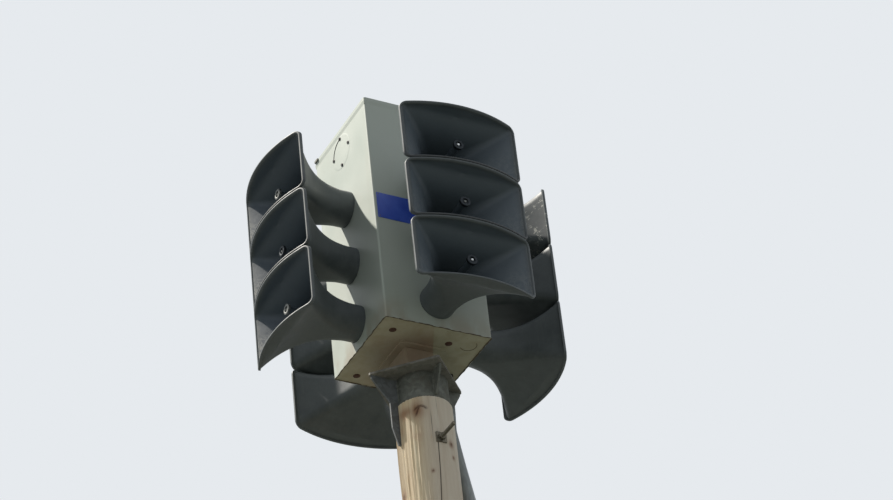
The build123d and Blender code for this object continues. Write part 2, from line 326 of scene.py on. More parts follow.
def powderCoatedSteel():
    # pale grey polyester powder coat, baked on sheet: soft gloss, fine orange peel, rain streaks of dust, a
    # brown wash above the seam, and the flat top darker: settled dirt and painted shade
    material, add, place = newMaterial("powder_coated_steel")
    patches = noise(add, place, 260, 4)
    streaks = add("MapRange", noise(add, place, 60, stretch=(1, 1, 9)), 0.5, 0.85, 0.0, 0.14)
    colour = add("Mix", streaks, tones(add, patches, 0.3, 0.7, "#AAB3AB", "#B4BBB4"), "#96937F")
    aboveSeam = add("MapRange", measured(add, place, (0, 0, wallsLow[2]), (0, 0, 1)), 0.14, 0.0, 0.0, 0.5)
    wash = add("MapRange", noise(add, place, 90, 5, stretch=(1, 1, 2)), 0.4, 0.65)
    colour = add("Mix", add("Math", aboveSeam, wash), colour, "#8F7E66")
    # the flat top darker: settled dirt, and painted shade against the strong light from above
    onTop = add("MapRange", measured(add, place, (0, 0, lidHigh[2] - 3 * mm), (0, 0, 1)), 0.5 * mm, 2.5 * mm)
    settledDirtAndShade = add("MapRange", noise(add, place, 70, 6, 0.65), 0.3, 0.65, 0.55, 0.95)
    colour = add("Mix", add("Math", onTop, settledDirtAndShade), colour, "#7B7C72")
    peel = noise(add, place, 3.5, 2)  # orange peel, drawn coarser than its 1 mm
    rough = add("MapRange", patches, 0.3, 0.7, 0.42, 0.55)
    return dress(material, add, [(peel, 0.12)], Base_Color=colour, Roughness=rough)


def stainedShadedTray():
    # the same coat seen from below, dusty: a brown stain starts at a sharp slanting edge and fades away;
    # painted shade towards the bracket is mixed into it
    material, add, place = newMaterial("stained_shaded_powder_coat")
    edgeStart = (headX - 0.013, -0.225, 0)
    edgeWay = np.array([0.077, 0.167, 0]) / 0.1839
    fromEdge = measured(add, place, edgeStart, (-edgeWay[1], edgeWay[0], 0))
    alongEdge = measured(add, place, edgeStart, tuple(edgeWay))
    # brown stain with painted shade towards the bracket: sharp at its slanting edge, fading over about 0.4 m
    stainAndShade = add("Math", add("MapRange", fromEdge, -1 * mm, 4 * mm), add("MapRange", fromEdge, 0.42, 0.05))
    stainAndShade = add("Math", stainAndShade, add("MapRange", alongEdge, -0.03, 0.12, 0.2, 0.85))
    stainAndShade = add("Math", stainAndShade, add("MapRange", noise(add, place, 60), 0.25, 0.7, 0.75, 1.0))
    dust = add("MapRange", noise(add, place, 45, 5), 0.35, 0.7, 0.25, 0.65)
    grime = add("MapRange", cells(add, place, 60), 0.075, 0.03, 0.0, 0.5)  # round spots 9 mm across
    coat = add("Mix", grime, add("Mix", dust, "#B1AE9A", "#928A70"), "#6E5E42")
    colour = add("Mix", stainAndShade, coat, "#98806E")
    return dress(material, add, [(noise(add, place, 4, 2), 0.15)], Base_Color=colour, Roughness=0.7)


def glassFibreMoulding():
    # hand-laid glass fibre in dark gelcoat, weathered to a chalky grey; inside bluer, darker as painted shade
    # on the sunlit faces and paler as painted light on the faces in shade; lips rubbed a little paler, and on
    # the sunlit faces partly a painted highlight; painted shadow on the upper horns' lower lips; dust and webs
    # low inside, pale specks by the lip
    material, add, place = newMaterial("glass_fibre_moulding")
    inside, shadedFace, lip, underLipShadow, dust, specks = [
        add("Attribute", settings={"attribute_name": mark}, output="Fac")
        for mark in ("inside", "shadedFace", "lip", "underLipShadow", "dust", "specks")
    ]
    chalk = noise(add, place, 70, 6, 0.6)
    streaks = add("MapRange", noise(add, place, 12, 4, stretch=(1, 1, 9)), 0.5, 0.85, 0.0, 0.25)
    base = add("Mix", streaks, tones(add, chalk, 0.32, 0.72, "#454C4F", "#595F62"), "#686E6D")
    # linings: darker as painted shade on the sunlit faces, paler as painted light on the faces in shade
    base = add("Mix", add("Math", inside, 0.8), base, add("Mix", shadedFace, "#3C4956", "#58636D"))
    # lips paler: rubbed, and on the sunlit faces partly a painted highlight
    rubbedAndHighlit = add("MapRange", noise(add, place, 26, 5), 0.35, 0.7, 0.05, 0.45)
    base = add("Mix", add("Math", lip, rubbedAndHighlit), base, "#7C807E")
    # painted shadow on the lower lips of the second and third horns
    base = add("Mix", underLipShadow, base, "#24282A")
    webs = noise(add, place, 60, 4, 0.6, distortion=1.2)
    strands = add("Math", webs, 0.5, 0.03, settings={"operation": "COMPARE"})
    fluff = add("MapRange", noise(add, place, 14, 6, 0.7), 0.44, 0.62, 0.0, 0.7)
    dirty = add("Math", strands, fluff, settings={"operation": "MAXIMUM"})
    base = add("Mix", add("Math", dust, dirty), base, "#B4B4AC")
    splashes = add("MapRange", noise(add, place, 22, 7, 0.8), 0.56, 0.61)
    scattered = add("Math", splashes, add("MapRange", chalk, 0.42, 0.5))
    base = add("Mix", add("Math", specks, scattered), base, "#E6E6DC")
    weave = noise(add, place, 6, 3, 0.6)  # fibre print through the gelcoat
    waves = noise(add, place, 45, 2)  # slight waviness of the mould
    rough = add("MapRange", chalk, 0.3, 0.7, 0.45, 0.65)
    return dress(material, add, [(weave, 0.1), (waves, 0.5)], Base_Color=base, Roughness=rough)


def hotDipGalvanised(name, dark, pale, grimeShare, metal):
    # hot-dip galvanised plate, weathered: spangle cells of two dull tones, dirt and faint rust in patches
    material, add, place = newMaterial(name)
    spangle = add("SeparateColor", cells(add, place, 14, "Color"))
    grime = noise(add, place, 55, 6, 0.6)
    grimy = add("MapRange", grime, 0.45, 0.7, 0.05, grimeShare)
    base = add("Mix", grimy, tones(add, spangle, 0.1, 0.9, dark, pale), "#5E5A50")
    rust = add("MapRange", noise(add, place, 30, 7, 0.7), 0.62, 0.75, 0.0, 0.5)
    base = add("Mix", rust, base, "#6E5340")
    rough = add("MapRange", grime, 0.3, 0.7, 0.5, 0.75)
    relief = noise(add, place, 8, 4)
    return dress(material, add, [(relief, 0.2)], Base_Color=base, Metallic=metal, Roughness=rough)


def debarkedPine():
    # pine pole with its bark drawn off, left raw: cream sapwood in streaks with resin tones; the side in shade
    # weathered grey and paler as painted light, the side facing the sun darker as painted shade; red-brown
    # about the knots
    material, add, place = newMaterial("debarked_pine")
    wide = noise(add, place, 30, 4, stretch=(1, 1, 18), distortion=0.4)
    fine = noise(add, place, 8, 5, 0.7, (1, 1, 36), 0.5)
    sides = []
    for dark, pale, streak, most, full in (
        ("#E8D3B2", "#FBEFD4", "#AE9060", 0.38, 0.75),  # side seen in the sun
        ("#96805F", "#B39B76", "#6F5A3C", 0.5, 0.75),  # side facing the sun: darker, painted shade
        ("#E0D3C3", "#EEE5D8", "#BBA690", 0.35, 0.78),  # side in shade: weathered grey, paler as painted light
    ):
        streaks = add("MapRange", fine, 0.5, full, 0.0, most)
        sides.append(add("Mix", streaks, tones(add, wide, 0.3, 0.72, dark, pale), streak))
    # the side facing the sun is darker and the side in shade paler: painted shade and painted light
    sunFacingShade = add("MapRange", measured(add, place, (0, 0, 0), (-0.6, 0.8, 0)), 0.035, 0.125)
    shadeSideLight = add("MapRange", measured(add, place, (0, 0, 0), (0.52, -0.85, 0)), 0.0, 0.09)
    base = add("Mix", shadeSideLight, add("Mix", sunFacingShade, *sides[:2]), sides[2])
    resin = add("MapRange", noise(add, place, 55, 5, stretch=(1, 1, 3)), 0.56, 0.76, 0.0, 0.5)
    base = add("Mix", resin, base, "#D0A684")
    for mark, tone in (("halo", "#9A5C36"), ("knot", "#46291A"), ("crack", "#2B1D12")):
        base = add("Mix", add("Attribute", settings={"attribute_name": mark}, output="Fac"), base, tone)
    rough = add("MapRange", fine, 0.3, 0.7, 0.66, 0.86)
    return dress(
        material, add, [(wide, 2.4), (fine, 2.0)],
        Base_Color=base, Roughness=rough, Diffuse_Roughness=0.8, Specular_IOR_Level=0.3)


def mottledFinish(name, mottle, pair, spread, rough, grain, depth, **shaderValues):
    # two tones mottled by noise over a spread of its levels; a pair of roughnesses follows the mottle too;
    # relief comes from a finer grain, or from the mottle where there is none
    material, add, place = newMaterial(name)
    pattern = noise(add, place, *mottle)
    relief = noise(add, place, *grain) if grain else pattern
    if isinstance(rough, tuple):
        rough = add("MapRange", pattern, 0.3, 0.7, *rough)
    colour = tones(add, pattern, *spread, *pair)
    return dress(material, add, [(relief, depth)], Base_Color=colour, Roughness=rough, **shaderValues)


coatedSteel = powderCoatedSteel()
trayFinish = stainedShadedTray()
hornFinish = glassFibreMoulding()
galvanised = hotDipGalvanised("hot_dip_galvanised", "#62655F", "#747770", 0.6, 0.3)
plateZinc = hotDipGalvanised("chalked_zinc_plate", "#706E69", "#807E78", 0.45, 0.0)
darkZinc = hotDipGalvanised("darkened_zinc", "#5A5E60", "#6A6E70", 0.4, 0.1)
pineFinish = debarkedPine()

# zinc plated steel gone dull between two tones: bolts, worn and dark end rings; a screw in near white
# is a painted glint
boltFinish, wornRing, dulledRing, glintScrew = [
    mottledFinish(name, (9, 5), pair, (0.35, 0.75), (0.38, 0.62), (1.5, 2), 0.03, Metallic=0.9)
    for name, pair in (
        ("zinc_plated_steel", ("#5B564A", "#8B8577")), ("worn_end_ring", ("#5E605F", "#858783")),
        ("dulled_end_ring", ("#2B2F33", "#3F4448")), ("glint_painted_screw", ("#C9CCCD", "#F2F4F4")),
    )
]
# blue painted aluminium plate, left bare: glossy, a little faded and dusty
plateFinish = mottledFinish(
    "blue_painted_plate", (60, 4), ("#3451BC", "#4566CE"), (0.3, 0.75), (0.3, 0.45), (9, 2), 0.05,
    Coat_Weight=0.2)
# black phenolic cones, moulded: satin, mottled with dust
driverFinish = mottledFinish(
    "phenolic_moulding", (18, 5), ("#3C454C", "#4B545B"), (0.35, 0.75), (0.35, 0.6), (3, 2), 0.05)
# extruded grey conduit: satin, with dust and faint scuffs along it
conduitFinish = mottledFinish(
    "extruded_conduit", (9, 5, 0.5, (1, 1, 18)), ("#888E90", "#A5ABAC"), (0.35, 0.75), (0.4, 0.6), (), 0.12)
# black nylon of the gland and bolt caps, injection moulded with a fine grain; also the blanks' dark arcs of
# painted shadow
nylon = mottledFinish("moulded_nylon", (10, 4), ("#1F1E1D", "#33302D"), (0.35, 0.7), 0.5, (1.2, 2), 0.05)
# dark brown butyl sealant, squeezed out of the seam and gone matt
sealant = mottledFinish("seam_sealant", (12, 4), ("#463F33", "#63584A"), (0.3, 0.7), 0.8, (3, 3), 0.3)
# plain steel bolt heads rusted through their paint: dark red-brown, dull
rusted = mottledFinish("rusted_steel", (6, 6, 0.65), ("#3B2820", "#664638"), (0.35, 0.7), 0.85, (), 0.4)
print("materials made")

# The cabinet's flat sheets and the bracket's plates keep their own solids and get their finish
keptFinishes = {
    "cabinet_walls": coatedSteel,
    "cabinet_lid": coatedSteel,
    "cabinet_bottom": trayFinish,
    "name_plate": plateFinish,
    "bracket_plate": plateZinc,
    "bracket_gussets": galvanised,
    "bracket_leg": darkZinc,
    "pedestal": trayFinish,
}
for node, finish in keptFinishes.items():
    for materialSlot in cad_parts[node].material_slots:
        materialSlot.material = finish
print("sheet and plate nodes dressed")


# Horns: twelve bowed rectangular flares, three to a face

horn = {
    "throatRadius": 76.0,
    "throatFlat": 3.0,
    "throatLength": 50.0,
    "floorThickness": 6.0,
    "wall": 6.0,
    "mouthCorner": 24.0,
    "lipWidth": 6.0,
    "lipDepth": 12.0,
    # section of the lip from its seat to the lining, as outset and distance behind the bowed front
    "lipProfile": [
        (4.2, 12.0), (5.5, 11.4), (6.0, 10.0), (6.0, 2.4), (5.4, 0.9), (4.0, 0.1), (1.5, 0.0), (-0.5, 0.4),
        (-2.5, 1.8), (-4.5, 4.6), (-6.0, 8.0),
    ],
    "cornerDepth": 330.0,
    "widthPower": 2.2,
    "heightPower": 3.9,
    "cornerPower": 0.8,
    "cornerSteps": 7,
    "levelSteps": 20,
    "uprightSteps": 6,
    "rows": 30,
    # how far the marks reach back from the mouth, and how far out the dust begins
    "wearReach": 5.0,
    "underLipShadowReach": 4.0,
    "liningReach": 30.0,
    "speckReach": 130.0,
    "dustSpan": 120.0,
    "shadedFaces": ("front", "right"),  # their linings are paler: painted light on these faces in shade
    # paler lips are rubbed, and on the sunlit faces partly a painted highlight
    "lipWearAndHighlight": (0.0, 0.35),  # how far the lips are paler, on these sides and on the others
    "dust": (0.1, 0.5),  # likewise how dusty the linings are
    "speckled": ("horn_right_3",),  # the rest are clean
}
hornLow, hornHigh = readBox("horn_front_1")
hornWidth, crownDepth, hornHeight = (hornHigh - hornLow) / mm
mouthRise = crownDepth - horn["cornerDepth"]
bowRadius = ((hornWidth / 2) ** 2 + mouthRise**2) / (2 * mouthRise)


def bowDepth(across):
    # the mouth's front lies on an upright cylinder: its depth falls off to both sides as a circle does
    return crownDepth - bowRadius + np.sqrt(bowRadius**2 - across**2)


def sectionLoop():
    # the points round a section: the sign of the corner that each belongs to, and the way it faces
    across, up, facing = [], [], []
    corners = [(1, 1), (-1, 1), (-1, -1), (1, -1)]
    for number, (a, b) in enumerate(corners):
        nextA, nextB = corners[(number + 1) % 4]
        turn = np.linspace(90 * number, 90 * (number + 1), horn["cornerSteps"] + 1)
        steps = horn["levelSteps"] if number % 2 == 0 else horn["uprightSteps"]
        share = np.linspace(0, 1, steps + 1)[1:-1]
        across += [np.full(turn.shape, a), a + (nextA - a) * share]
        up += [np.full(turn.shape, b), b + (nextB - b) * share]
        facing += [turn, np.full(share.shape, 90 * (number + 1))]
    return np.concatenate(across), np.concatenate(up), np.radians(np.concatenate(facing))


loopAcross, loopUp, loopFacing = sectionLoop()


def flareSection(depth, outset):
    # half width, half height and corner radius go from throat to mouth as powers of the share of the depth;
    # a section is four corner circles joined by straights, set out by outset
    throat, lip = horn["throatRadius"], horn["lipWidth"]
    share = np.clip((depth - horn["throatLength"]) / (horn["cornerDepth"] - horn["throatLength"]), 0, 1)
    halfWidth = throat + (hornWidth / 2 - lip - throat) * share ** horn["widthPower"]
    halfHeight = throat + (hornHeight / 2 - lip - throat) * share ** horn["heightPower"]
    startCorner = throat - horn["throatFlat"]
    corner = startCorner + (horn["mouthCorner"] - startCorner) * share ** horn["cornerPower"]
    return (
        loopAcross * (halfWidth - corner) + (corner + outset) * np.cos(loopFacing),
        loopUp * (halfHeight - corner) + (corner + outset) * np.sin(loopFacing),
    )


def flareWall(shares, start, back, outset):
    # rings at these shares of the way from start to the bowed front, less back. A point's depth depends on
    # how far across it lies, and that on its depth, so both are found by going half the way again and again
    shares = shares[:, None]
    depth = start + shares * (crownDepth - back - start) * np.ones(loopAcross.shape)
    for _ in range(24):
        across, up = flareSection(depth, outset)
        depth = (depth + start + shares * (bowDepth(across) - back - start)) / 2
    return np.stack([depth, *flareSection(depth, outset)], -1)


def lipRing(outset, back):
    # one ring of the lip: the mouth's outline set out by outset, that far behind the bowed front
    across, up = flareSection(horn["cornerDepth"], outset)
    return np.stack([bowDepth(across) - back, across, up], -1)


def hornSurface():
    # outer wall, lip and inner wall down to the closed throat; marks fall off behind the mouth as exp does
    outer = flareWall(np.linspace(0, 1, horn["rows"]) ** 0.85, 0.0, horn["lipDepth"] + 1.0, 0.0)
    rims = np.array([lipRing(*station) for station in horn["lipProfile"]])
    seat = (outer[-1] + rims[0]) / 2 + [0.3, 0, 0]
    inner = flareWall(np.linspace(0.97, 0, horn["rows"]), horn["floorThickness"], 0.0, -horn["wall"])
    rings = np.concatenate([outer, seat[None], rims, inner])
    isInner = (np.arange(len(rings)) >= len(rings) - len(inner))[:, None]
    depth, across, up = np.moveaxis(rings, -1, 0)
    gap = np.clip(bowDepth(np.clip(across, -hornWidth / 2, hornWidth / 2)) - depth, 0, None)
    inside = isInner * ease(gap / horn["liningReach"])
    low = ease(0.5 - up / horn["dustSpan"])
    side = ease(np.abs(across) / horn["dustSpan"] - 0.8)
    return rings, {
        "lip": np.exp(-gap / horn["wearReach"]),
        "inside": inside,
        "shadedFace": inside,
        # painted shadow low on the lip, used on the second and third horns
        "underLipShadow": 0.85 * np.exp(-gap / horn["underLipShadowReach"]) * ease(-up / 20 - 4),
        "dust": isInner * low * side,
        "specks": np.exp(-gap / horn["speckReach"]),
    }


hornRings, hornMarks = hornSurface()
for side in faceAngles:
    shadedFace = side in horn["shadedFaces"]
    for number in (1, 2, 3):
        name = f"horn_{side}_{number}"
        shares = {
            "lip": horn["lipWearAndHighlight"][not shadedFace],
            "shadedFace": shadedFace,
            "underLipShadow": number > 1,
            "dust": horn["dust"][not shadedFace],
            "specks": name in horn["speckled"],
        }
        marks = {key: value * shares.get(key, 1) for key, value in hornMarks.items()}
        item = shell(hornRings, start=(0, 0, 0), end=(horn["floorThickness"], 0, 0), marks=marks)
        makePiece(f"{name}_moulding", placed(item, *faceSeat(name)), hornFinish, [name], 30)
print("horns made")


# Drivers: a slim black cone in each throat, with an end ring and its screw on the horn's axis

driver = {
    "rootRadius": 44.0,
    "neckDepth": 110.0,
    "stemRadius": 15.0,
    "ringStart": 306.0,
    "ringEnd": 318.0,
    "ringRadius": 23.0,
    "ringEdge": 1.2,
    "boreRadius": 13.0,
    "boreDepth": 5.0,
    "screwFlat": 5.0,
    "wornRings": ("driver_left_1", "driver_left_3"),  # the others have gone dark
    # their screws are near white: a painted glint
    "glintScrews": ("driver_front_1", "driver_front_3"),
}


def driverShells():
    # the cone narrows from root to stem as one less a sine does, and the end ring is turned with round edges
    share = np.linspace(0, 1, 14)
    root, stem = driver["rootRadius"], driver["stemRadius"]
    along = horn["floorThickness"] + share * (driver["neckDepth"] - horn["floorThickness"])
    radius = stem + (root - stem) * (1 - np.sin(share * pi / 2))
    cone = list(zip(along, radius)) + [(driver["ringStart"] + 2, stem)]
    start, end, outer, bore = (driver[key] for key in ("ringStart", "ringEnd", "ringRadius", "boreRadius"))
    edge, flat = driver["ringEdge"], driver["screwFlat"]
    seat = end - driver["boreDepth"]
    ring = [
        (start, bore), (start, outer - edge), (start + edge / 3, outer - edge / 3), (start + edge, outer),
        (end - edge, outer), (end - edge / 3, outer - edge / 3), (end, outer - edge), (end, bore + edge),
        (end - edge / 3, bore + edge / 3), (end - edge, bore), (seat, bore),
    ]
    top = flat * hexCorner
    screw = [(seat - 0.2, top, flat), (seat + 3, top, flat), (seat + 3.8, flat * 0.95, flat)]
    return lathe(cone, 32), lathe(ring, 40), lathe(screw, 24, flats=6)


coneShell, ringShell, screwShell = driverShells()
for side in faceAngles:
    for number in (1, 2, 3):
        name = f"driver_{side}_{number}"
        seat = faceSeat(name)
        ringFinish = wornRing if name in driver["wornRings"] else dulledRing
        # a near-white screw is a painted glint
        screwFinish = glintScrew if name in driver["glintScrews"] else wornRing
        makePiece(f"{name}_cone", placed(coneShell, *seat), driverFinish, [name])
        makePiece(f"{name}_ring", placed(ringShell, *seat), ringFinish)
        makePiece(f"{name}_screw", placed(screwShell, *seat), screwFinish)
print("drivers made")


# Blanks over the unused fourth position: sloped disc, four dark bolts and a dark arc between two, a painted
# shadow

blank = {
    "radius": 82.0,
    "step": 6.0,
    "thickness": 0.8,
    "edge": 0.2,
    "boltCircle": 69.0,
    "boltFlat": 5.2,
    "boltHeight": 4.0,
    "boltWasher": 1.0,
    "boltSunk": 0.2,
    # bar radius and turns of the dark arc, a painted shadow between two bolts
    "shadow_arc": 2.1,
    "shadowArcTurns": (-88, -2),
}


def blankShell():
    # disc with a gently sloped rim, as a turned profile
    radius, edge, high = blank["radius"], blank["edge"], blank["thickness"]
    land = radius - blank["step"]
    return lathe([(0, radius), (edge, radius - edge / 4), (high, land), (high, land - 1.5), (high, 2.0)], 72)


for side in faceAngles:
    name = f"blank_{side}"
    seat, out, across = faceSeat(name)
    makePiece(f"{name}_disc", placed(blankShell(), seat, out, across), coatedSteel, [name])
    heads = []
    for turn in (0, pi / 2, pi, pi * 1.5):
        aside = cos(turn) * across + sin(turn) * np.array([0, 0, 1])
        centre = seat + mm * ((blank["thickness"] - blank["boltSunk"]) * out + blank["boltCircle"] * aside)
        for item in boltHead(blank["boltFlat"], blank["boltHeight"], blank["boltWasher"]):
            heads.append(placed(item, centre, out, across))
    makePiece(f"{name}_bolts", heads, nylon)
    # a dark arc that stands for the shadow at the disc's edge: painted shadow
    arc = arcBar(blank["boltCircle"], blank["shadow_arc"], *blank["shadowArcTurns"])
    arc = placed(arc, seat + blank["thickness"] * mm * out, out, -across)
    makePiece(f"{name}_gasket", arc, nylon)
print("blanks made")


# Wooden pole: a tapered trunk whose surface follows ridged grain, drying checks and knots

trunk = {
    "footRadius": 150.0,
    "shoulderRadius": 116.0,
    "neckRadius": 101.5,
    "columns": 180,
    "topRows": 230,
    "lowRows": 180,
    "fineLength": 1300.0,
    "ridge": 1.5,
    "roughSide": 205.0,
    # out of round below the shoulder: swell all round, more on one side (extra, angle), and where it ends
    "swell": 2.0,
    "sideSwell": (3.0, 152.0),
    "swellEnd": (250.0, 1300.0),
    # each check: angle round the pole, drop of its top and bottom below the shoulder, depth and half width
    "checks": [
        (-97, -10, 150, 3.0, 0.9), (-100, 150, 1700, 6.0, 1.5), (-109, 60, 270, 2.5, 0.9),
        (35, 300, 2600, 7.0, 1.8), (150, 900, 3400, 6.0, 1.6),
    ],
    "checkColumns": [-3, -1.7, -1, -0.5, 0, 0.5, 1, 1.7, 3],  # places of close columns, in half widths
    # each knot: angle round the pole, drop below the shoulder, size; below these come scattered ones
    "knots": [(-66, 218, 8), (-63, 278, 5), (-112, 358, 4), (170, 420, 12), (80, 700, 14), (-20, 1150, 12)],
    "lowKnots": range(1500, 8300, 330),
    "scar": (-129, 66, 20),  # a branch scar under its hooded ridge
}
collarLow, collarHigh = readBox("pole_collar")
shoulderZ = collarLow[2]


def trunkRadius(height):
    # straight taper between foot and shoulder, height in metres, radius in millimetres
    share = np.clip(height / shoulderZ, 0, 1)
    return trunk["footRadius"] + (trunk["shoulderRadius"] - trunk["footRadius"]) * share


def turnAway(angle, degrees):
    # signed angle from a direction, within half a turn
    return (angle - radians(degrees) + pi) % (2 * pi) - pi


def bell(distance):
    # one in the middle, falling to nothing on both sides
    return np.exp(-(distance**2))


def trunkShell():
    # columns are even round the pole, with close ones added along each check so that its lips are sharp
    columns = [np.linspace(0, 2 * pi, trunk["columns"], endpoint=False)]
    for turn, *_, halfWidth in trunk["checks"]:
        offsets = np.array(trunk["checkColumns"]) * halfWidth / trunk["shoulderRadius"]
        columns.append(radians(turn) + offsets)
    angle = np.sort(np.concatenate(columns) % (2 * pi))[None]
    fineStart = shoulderZ - trunk["fineLength"] * mm
    height = np.concatenate([
        np.linspace(0, fineStart, trunk["lowRows"], endpoint=False),
        np.linspace(fineStart, shoulderZ - 8 * mm, trunk["topRows"]),
    ])[:, None]
    drop = (shoulderZ - height) / mm
    # swell and ridges
    radius = trunkRadius(height) * np.ones(angle.shape)
    extra, turn = trunk["sideSwell"]
    last, gone = trunk["swellEnd"]
    sided = bell(turnAway(angle, turn) / 0.9) * ease((last * 2 - drop) / last)
    radius += (trunk["swell"] + extra * sided) * ease((gone - drop) / (gone - last))
    rough = 0.2 + 1.5 * bell(turnAway(angle, trunk["roughSide"]) / 0.8)
    radius -= trunk["ridge"] * rough * (1.3 + np.clip(ripple(angle, height, 12, 2.2, 3), -1.3, 1.6))
    crack, knot, halo, shift = np.zeros((4, *radius.shape))
    # checks open and close along their length and wander with the grain
    for number, (turn, top, bottom, depth, halfWidth) in enumerate(trunk["checks"]):
        away = turnAway(angle, turn) * radius
        line = ease((drop - top) / 60) * ease((bottom - drop) / 200) * bell(away / halfWidth)
        radius -= depth * line
        crack = np.maximum(crack, line)
        wander = 5 * np.sin(drop / 170 + number) + 3 * np.sin(drop / 61 + 2 * number)
        shift += wander * bell(away / 30) / radius
    # knots stand up in a sunken ring
    draw = np.random.default_rng(7)
    lower = [(draw.uniform(-180, 180), top, draw.uniform(8, 16)) for top in trunk["lowKnots"]]
    for turn, top, size in trunk["knots"] + lower:
        away = turnAway(angle, turn) * radius / size
        reach = np.hypot(away, (drop - top) / (1.3 * size))
        radius += 1.6 * bell(reach) - 1.2 * bell((reach - 1.5) / 0.35)
        knot = np.maximum(knot, 0.7 * np.exp(-(reach**2) * 1.4))
        halo = np.maximum(halo, 0.6 * bell(reach / 1.8))
    # the scar is a hooded arc over a slash, with a stain round it and one beside it
    turn, top, size = trunk["scar"]
    across = turnAway(angle, turn) * radius / size
    up = (top - drop) / size
    hood = bell((np.hypot(across - 0.3, (up + 0.5) / 1.1) - 1.2) / 0.2) * ease(up * 1.6 + 0.5)
    slash = bell((across + 0.15 - 0.4 * up) / 0.22) * ease(1.5 - np.abs(up + 0.2))
    radius += 2.0 * bell(np.hypot(across, up) / 1.3) - 2.4 * np.maximum(hood, slash)
    knot = np.maximum(knot, 0.85 * np.maximum(hood, slash))
    halo = np.maximum(halo, 0.75 * bell(np.hypot(across + 0.5, up / 1.3) / 1.5))
    halo = np.maximum(halo, 0.6 * bell(np.hypot((across + 3.0) / 2.0, up - 0.3) / 1.2))
    # four more rings round off the shoulder and make the neck that stands in the collar
    neckTop = collarHigh[2] - 0.5 * mm
    neck = np.full(radius.shape[1], trunk["neckRadius"])
    radius = np.vstack([radius, radius[-1] - 2.5, neck + 3, neck, neck]) * mm
    angle = angle + np.pad(shift, ((0, 4), (0, 0)), "edge")
    height = np.append(height, [shoulderZ - 3 * mm, shoulderZ - 0.2 * mm, shoulderZ + 0.2 * mm, neckTop])
    height = height[:, None] * np.ones(angle.shape)
    points = np.stack([radius * np.cos(angle), radius * np.sin(angle), height], -1)
    crack, knot, halo = (np.pad(mark, ((0, 4), (0, 0))) for mark in (crack, knot, halo))
    crack[-4:-2] = crack[-5]
    marks = {"crack": crack, "knot": knot, "halo": halo}
    return shell(points, start=(0, 0, 0), end=(0, 0, neckTop), marks=marks)


makePiece("wooden_pole_trunk", trunkShell(), pineFinish, ["wooden_pole"], 60)
print("pole made")


# Bracket: the collar is a rolled band, and weld beads join the gussets to it and to the plate

bracket = {
    "bandEdge": 1.5,
    "bandInner": 102.3,
    "bandSwell": 2.0,
    "bandColumns": 120,
    "gussetHalf": 4.0,
    "bead": 4.0,
    "beadWaves": (0.15, 0.042),  # even ripple and chance, as shares of the bead
    "beadUpright": (112.0, 3.0),  # its start and end below the plate
    "beadLevel": (1.0, 55.0),  # how far below the plate it runs, and its length
}
collarOuter = (collarHigh[0] - collarLow[0]) / 2 + bracket["bandSwell"] * mm
plateZ = readBox("bracket_plate")[0][2]


def bandShell():
    # the band's section, a tall rounded rectangle, carried round the pole
    turn = np.linspace(0, 2 * pi, bracket["bandColumns"], endpoint=False)[:, None]
    inner = bracket["bandInner"] * mm
    section = roundedOutline(collarOuter - inner, collarHigh[2] - collarLow[2], bracket["bandEdge"] * mm, 3)
    radius = (collarOuter + inner) / 2 + section[None, :, 0]
    height = (collarLow[2] + collarHigh[2]) / 2 + section[None, :, 1] * np.ones(turn.shape)
    rings = np.stack([radius * np.cos(turn), radius * np.sin(turn), height], -1)
    return shell(rings[:, ::-1], joined=True)


def beadShell(start, end, seed):
    # weld bead: a tube whose radius ripples along a straight run and closes at its ends
    share = np.linspace(0, 1, 60)
    path = start + share[:, None] * (end - start)
    even, chance = bracket["beadWaves"]
    chance = chance * np.random.default_rng(seed).uniform(-1, 1, 60)
    ends = ease(share * 14) * ease((1 - share) * 14)
    radius = bracket["bead"] * mm * (1 - even + even * np.sin(share * 95) + chance) * ends + 0.2 * mm
    rings = carried(path, roundOutline(1.0, 10), (0.31, 0.57, 0.76)) - path[:, None]
    tip = unit(end - start) * 0.3 * mm
    return shell(path[:, None] + rings * radius[:, None, None], start=path[0] - tip, end=path[-1] + tip)


makePiece("pole_collar_band", bandShell(), galvanised, ["pole_collar"])
beads = []
for number in range(4):
    out, aside = around(90 * number)
    for hand in (-1, 1):
        foot = collarOuter * out + hand * bracket["gussetHalf"] * mm * aside + [0, 0, plateZ]
        low, high = (foot - [0, 0, drop * mm] for drop in bracket["beadUpright"])
        beads.append(beadShell(low, high, 20 + number))
        drop, length = bracket["beadLevel"]
        near = foot - [0, 0, drop * mm]
        beads.append(beadShell(near, near + length * mm * out, 30 + number))
makePiece("bracket_weld_beads", beads, galvanised)
print("bracket made")


# Through bolt: rod with a rolled thread, square washers and hexagon nuts

rod = {
    "radius": 8.0,
    "pitch": 3.2,
    "threadDepth": 1.0,
    "nutFlat": 13.5,
    "nutHeight": 14.0,
    "nutChamfer": 1.5,
    "washer": 46.0,
    "washerCorner": 2.5,
    "washerThickness": 6.0,
}
boltLow, boltHigh = readBox("through_bolt")
rodLevel = (boltLow[2] + boltHigh[2]) / 2
rodSeat = trunkRadius(rodLevel - rod["washer"] / 2 * mm)


def rodShell(start, end):
    # thread: the radius falls and rises once a pitch, shifted by one pitch round a turn; the real one is finer
    along = np.linspace(start, end, int((end - start) / rod["pitch"] * 6))[:, None]
    phase = (along / rod["pitch"] - np.linspace(0, 1, 24, endpoint=False)) % 1
    radius = rod["radius"] - rod["threadDepth"] * np.abs(2 * phase - 1)
    return turned(along, radius * np.minimum(1, 0.8 + 0.2 * ease((end - along) / 2)))


